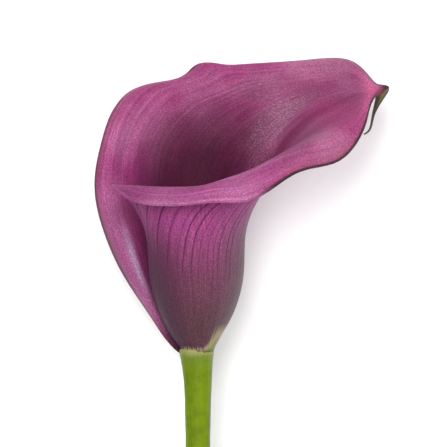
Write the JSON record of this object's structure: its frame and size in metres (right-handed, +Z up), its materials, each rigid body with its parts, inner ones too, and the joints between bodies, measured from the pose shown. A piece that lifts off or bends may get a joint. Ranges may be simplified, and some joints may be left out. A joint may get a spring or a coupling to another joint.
{
  "type": "calla lily flower",
  "caption": "Cut calla lily lying on its back: a wrapped, flaring spathe with a curled tail, a yellow spadix inside its tube, and a round green stem with a slanted cut end.",
  "frame": {"origin": "centre of the bounding box's underside, on the surface that the flower lies on", "axes": "+Z up from the surface; +Y along the stem towards the bloom; +X to the right as seen from above, the side that the bloom's tip points to"},
  "size_m": [0.099, 0.2611, 0.0535],
  "materials": {
    "spathe": "satin petal, magenta inside, dusky purple at the tube's foot",
    "spadix": "matt, packed florets",
    "stem": "smooth satin green stalk"
  },
  "bodies": {
    "root": {"spathe": "spathe", "spadix": "spadix", "stem": "stem"}
  },
  "joints": []
}
